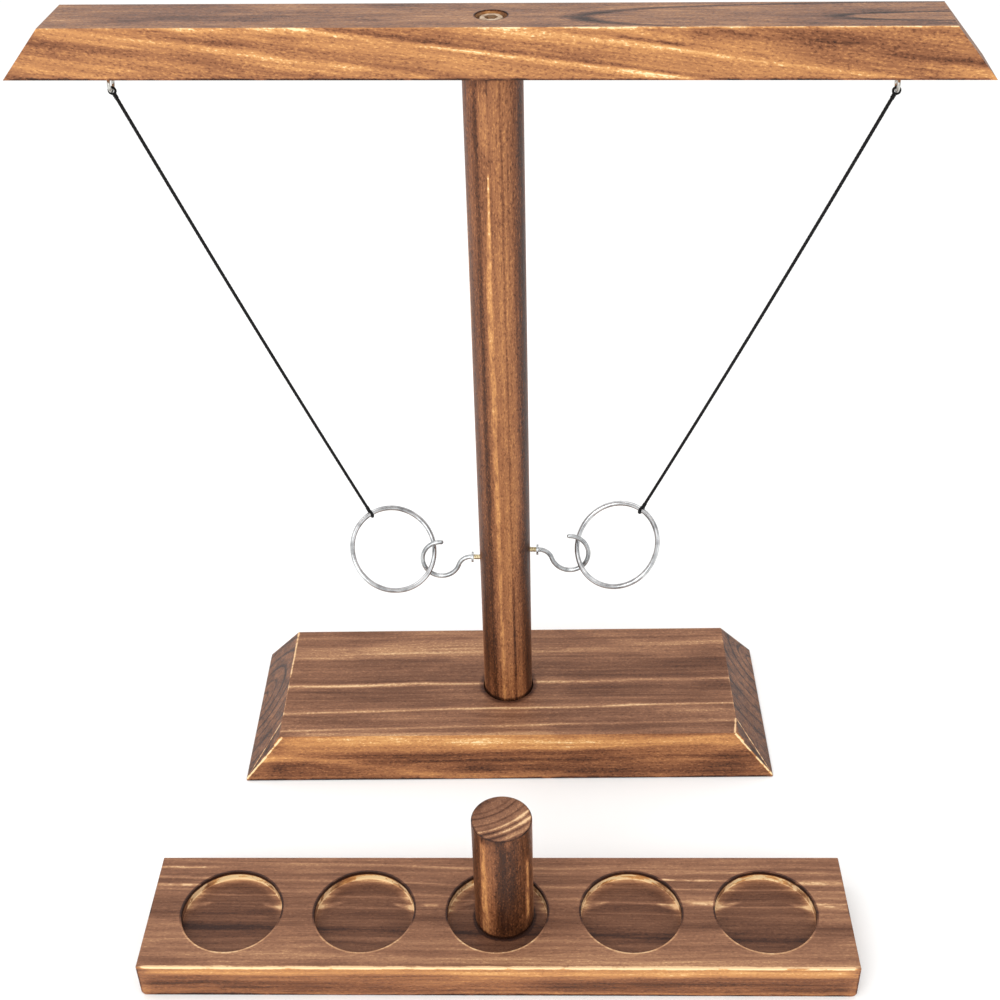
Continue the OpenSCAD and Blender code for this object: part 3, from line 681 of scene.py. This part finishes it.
pegLook = dict(common, **{
    "place": (-1.0, -146.6, 0), "turn": -0.5, "grain": "z", "seed": 21.0, "wander": 1.0, "endMix": 0.1,
    "roughness": 0.42, "streak": 0.3, "cloud": 0.3, "pore": 0.14,
    "pith": (-16, 27, 0), "lean": (0.01, 0, 1),
    "shadeRings": [((0, 0, 79.5), 13.35, 0.45, -0.4), ((0, 0, 14.6), 13.5, 1.5, -0.5)],
    "years": [
        (12, .3), (27, .18), (31, .22), (34, .16), (36.4, .2), (37.6, .26), (38.6, .36), (40.6, .38),
        (41.8, .26), (42.4, .2), (43.4, .16), (44, .22), (44.6, .16), (46, .2),
    ],
    "endPith": (-16, 27, 0), "endLean": (0, 0, 1),
    "endYears": [
        (17, .34), (19, .42), (20, .26), (21.4, .46), (24.4, .48), (25.2, .28), (26.2, .5), (27.3, .5),
        (27.9, .16), (28.8, .5), (31.6, .58), (32.3, .26), (33.2, .56), (34.8, .5), (35.7, .98),
        (36.6, .66), (37.3, .28), (38, .58), (38.9, 1.0), (39.8, .62), (40.6, .28), (41.6, .7),
        (43, .8), (43.8, .34), (46, .5),
    ],
    "streaksWearAndPaintedLight": [
        # painted highlight down the left side
        ((-8.4, -10.5, 14), (-8.4, -10.5, 80), 1.8, 1.3, 0.4, 0.1),
        # darker down the middle of the front, and paler to the right of the top
        ((2.2, -13.3, 16), (2.2, -13.3, 78), 4.2, 4.2, -0.12, 0.1),
        ((7, 3, 79.5), (12, -4, 79.5), 3.2, 3.2, 0.2, 0.2),
        # painted highlight down the right side
        ((11.0, -7.7, 18), (11.0, -7.7, 69), 1.5, 0.9, 0.56, 0.2),
        # darker patches on the top
        ((-9.6, -8.6, 79.5), (3, -12, 79.5), 4.0, 3.0, -0.24, 0.2),
        ((-12.8, 3, 79.5), (-6, 12, 79.5), 1.8, 1.8, -0.24, 0.2),
    ],
})
timberPiece("baseBlock", "base", "stand", baseLook)
timberPiece("postDowel", "post", "stand", postLook)
timberPiece("crossBeam", "beam", "stand", beamLook)
timberPiece("ladderBoard", "ladder_board", "ladder", ladderLook)
timberPiece("pegDowel", "peg", "peg", pegLook)


# Metal: nickel plated wire for rings and hooks, zinc plated eyes, brass threads, steel cap screws

# Nickel gives a neutral shine, zinc a duller and greyer one, the screws' yellow passivated zinc is warm
# and satin, and turned brass is pale yellow. Grit and relief are in mm.
metalLook = {
    "ring": {"light": "#cecfd0", "dark": "#939496", "roughness": 0.13, "grit": 1.2, "relief": 0.012},
    "hook": {"light": "#c0c2c3", "dark": "#87898b", "roughness": 0.16, "grit": 0.9, "relief": 0.02},
    "eye": {"light": "#c2c1bc", "dark": "#8e8c86", "roughness": 0.22, "grit": 0.7, "relief": 0.03},
    "bolt": {"light": "#dcc3a6", "dark": "#ab8e72", "roughness": 0.42, "grit": 0.6, "relief": 0.03},
    "brass": {"light": "#dccdaa", "dark": "#a39168", "roughness": 0.26, "grit": 0.6, "relief": 0.03},
    "hazeGrits": 4, "scratchGrits": 0.25,     # of the grit, the size of a hazy patch and of a scratch
    "hazeFrom": 0.3, "hazeTo": 0.62,          # of the noise, where a patch is dull and where it is bright
}

# the hook's wire is brass up to its flange, and its thread shows between the flange and the post, in mm
threadLook = {
    "brassReach": 15.9, "near": 12.9, "far": 15.7,     # from the post's axis
    "brassEdge": 0.1,                                  # either side of where the brass ends
    "pitch": 0.8, "ridge": 0.22, "radius": 1.12,
    "leftUp": 110.5, "rightUp": 115.9,                 # above the table
    "turn": -2.9,                                      # degrees, as the post
    "turnSteps": 20, "sides": 8,
}


# Drawn and plated wire: bright, with a faint haze of fine scratches and small dull patches.
def platedWire(name, look, brass=None):
    material, tree = newMaterial(name)
    place = addNode(tree, "TexCoord", out=3)
    hazeSize = look["grit"] * metalLook["hazeGrits"] * mm
    gritSize = look["grit"] * metalLook["scratchGrits"] * mm
    haze = addNode(tree, "TexNoise", {0: place, "Scale": 1 / hazeSize, "Detail": 3.0})
    grit = addNode(tree, "TexNoise", {0: place, "Scale": 1 / gritSize, "Detail": 2.0})
    hazeFrom, hazeTo = metalLook["hazeFrom"], metalLook["hazeTo"]
    colour = addNode(tree, "ValToRGB", {0: haze}, stops=[(hazeFrom, look["dark"]), (hazeTo, look["light"])])
    if brass:
        flat = addNode(tree, "VectorMath", {0: place, 1: (1, 1, 0)}, operation="MULTIPLY")
        away = addNode(tree, "VectorMath", {0: flat}, out=1, operation="LENGTH")
        reach, edge = threadLook["brassReach"], threadLook["brassEdge"]
        near = addNode(tree, "MapRange", {0: away, 1: (reach + edge) * mm, 2: (reach - edge) * mm})
        yellowStops = [(hazeFrom, brass["dark"]), (hazeTo, brass["light"])]
        yellow = addNode(tree, "ValToRGB", {0: haze}, stops=yellowStops)
        colour = addNode(tree, "Mix", {0: near, 6: colour, 7: yellow}, out=2, data_type="RGBA")
    roughness = addNode(tree, "MapRange", {
        0: haze, 1: 0.3, 2: 0.7, 3: look["roughness"] + 0.1, 4: look["roughness"] - 0.04,
    })
    bump = addNode(tree, "Bump", {"Strength": 0.3, "Distance": look["relief"] * mm, "Height": grit})
    shader = addNode(tree, "BsdfPrincipled", {
        "Base Color": colour, "Metallic": 1.0, "Roughness": roughness, "Normal": bump,
    })
    addNode(tree, "OutputMaterial", {0: shader})
    return material


ringMetal = platedWire("nickelPlatedRingWire", metalLook["ring"])
hookMetal = platedWire("nickelPlatedHookWire", metalLook["hook"], metalLook["brass"])
eyeMetal = platedWire("brightZincPlatedScrewEye", metalLook["eye"])
boltMetal = platedWire("yellowPassivatedZincCapScrew", metalLook["bolt"])
brassMetal = platedWire("turnedBrass", metalLook["brass"])
carried = {
    "left_ring": ringMetal, "right_ring": ringMetal, "left_hook": hookMetal, "right_hook": hookMetal,
    "left_eye_screw": eyeMetal, "right_eye_screw": eyeMetal, "top_bolt": boltMetal, "base_bolt": boltMetal,
    "top_insert": brassMetal, "base_insert": brassMetal,
}
for node, material in carried.items():
    for materialSlot in frame["nodes"][node].material_slots:
        materialSlot.material = material
print("metal set")

for hand, sign in (("left", -1), ("right", 1)):
    turn = radians(threadLook["turn"])
    outward = Vector((cos(turn), sin(turn), 0)) * sign
    across = Vector((-sin(turn), cos(turn), 0))
    up = Vector((0, 0, 1))
    near, far, turnSteps = threadLook["near"], threadLook["far"], threadLook["turnSteps"]
    count = int((far - near) / threadLook["pitch"] * turnSteps)
    points = []
    for k in range(count + 1):
        angle = 2 * pi * k / turnSteps
        reach = near + (far - near) * k / count
        middle = outward * reach + Vector((0, 0, threadLook[hand + "Up"]))
        aside = (across * cos(angle) + up * sin(angle)) * threadLook["radius"]
        points.append((middle + aside) * mm)
    thread = laidTube(bmesh.new(), points, threadLook["ridge"] * mm, sides=threadLook["sides"])
    newPiece(hand + "HookThread", thread, brassMetal, "stand")
print("hook threads cut")


# Studio: a pale floor and soft light

stageLook = {
    "floor": "#fbfbfa", "floorHalf": 4.0,               # m
    "floorDrop": 0.02, "tooth": 2.5, "relief": 0.05,    # mm; the real tooth is finer than would show
    "world": 0.95,
    # place in m, aim in m, size in m, watts
    "lights": {
        "topBox": ((-0.3, 0.1, 1.7), (0, -0.05, 0.1), 1.5, 7),
        "frontBox": ((-0.7, -1.5, 0.9), (0, 0, 0.2), 1.2, 12),
        "rightBox": ((1.4, -0.5, 0.9), (0, 0, 0.2), 0.9, 2),
    },
}
bm = bmesh.new()
bmesh.ops.create_grid(bm, x_segments=8, y_segments=8, size=stageLook["floorHalf"])
floorMesh = bpy.data.meshes.new("studioFloor")
bm.to_mesh(floorMesh)
bm.free()
floor = bpy.data.objects.new("studioFloor", floorMesh)
floor.location.z = -stageLook["floorDrop"] * mm
scene.collection.objects.link(floor)

# Seamless paper: matt and nearly white, with a barely visible tooth.
paper, tree = newMaterial("seamlessPaper")
place = addNode(tree, "TexCoord", out=3)
tooth = addNode(tree, "TexNoise", {0: place, "Scale": 1 / (stageLook["tooth"] * mm), "Detail": 2.0})
bump = addNode(tree, "Bump", {"Strength": 0.05, "Distance": stageLook["relief"] * mm, "Height": tooth})
shader = addNode(tree, "BsdfPrincipled", {
    "Base Color": toLinear(stageLook["floor"]), "Roughness": 0.9, "Specular IOR Level": 0.2, "Normal": bump,
})
addNode(tree, "OutputMaterial", {0: shader})
floorMesh.materials.append(paper)

for name, (place, target, size, watts) in stageLook["lights"].items():
    lightData = bpy.data.lights.new(name, "AREA")
    lightData.size = size
    lightData.energy = watts
    light = bpy.data.objects.new(name, lightData)
    towards = (Vector(target) - Vector(place)).to_track_quat("-Z", "Y").to_matrix().to_4x4()
    light.matrix_world = Matrix.Translation(place) @ towards
    scene.collection.objects.link(light)
world = bpy.data.worlds.new("studioRoom")
world.use_nodes = True
world.node_tree.nodes["Background"].inputs[0].default_value = (1, 1, 1, 1)
world.node_tree.nodes["Background"].inputs[1].default_value = stageLook["world"]
scene.world = world
print("studio lit")

bpy.context.view_layer.update()
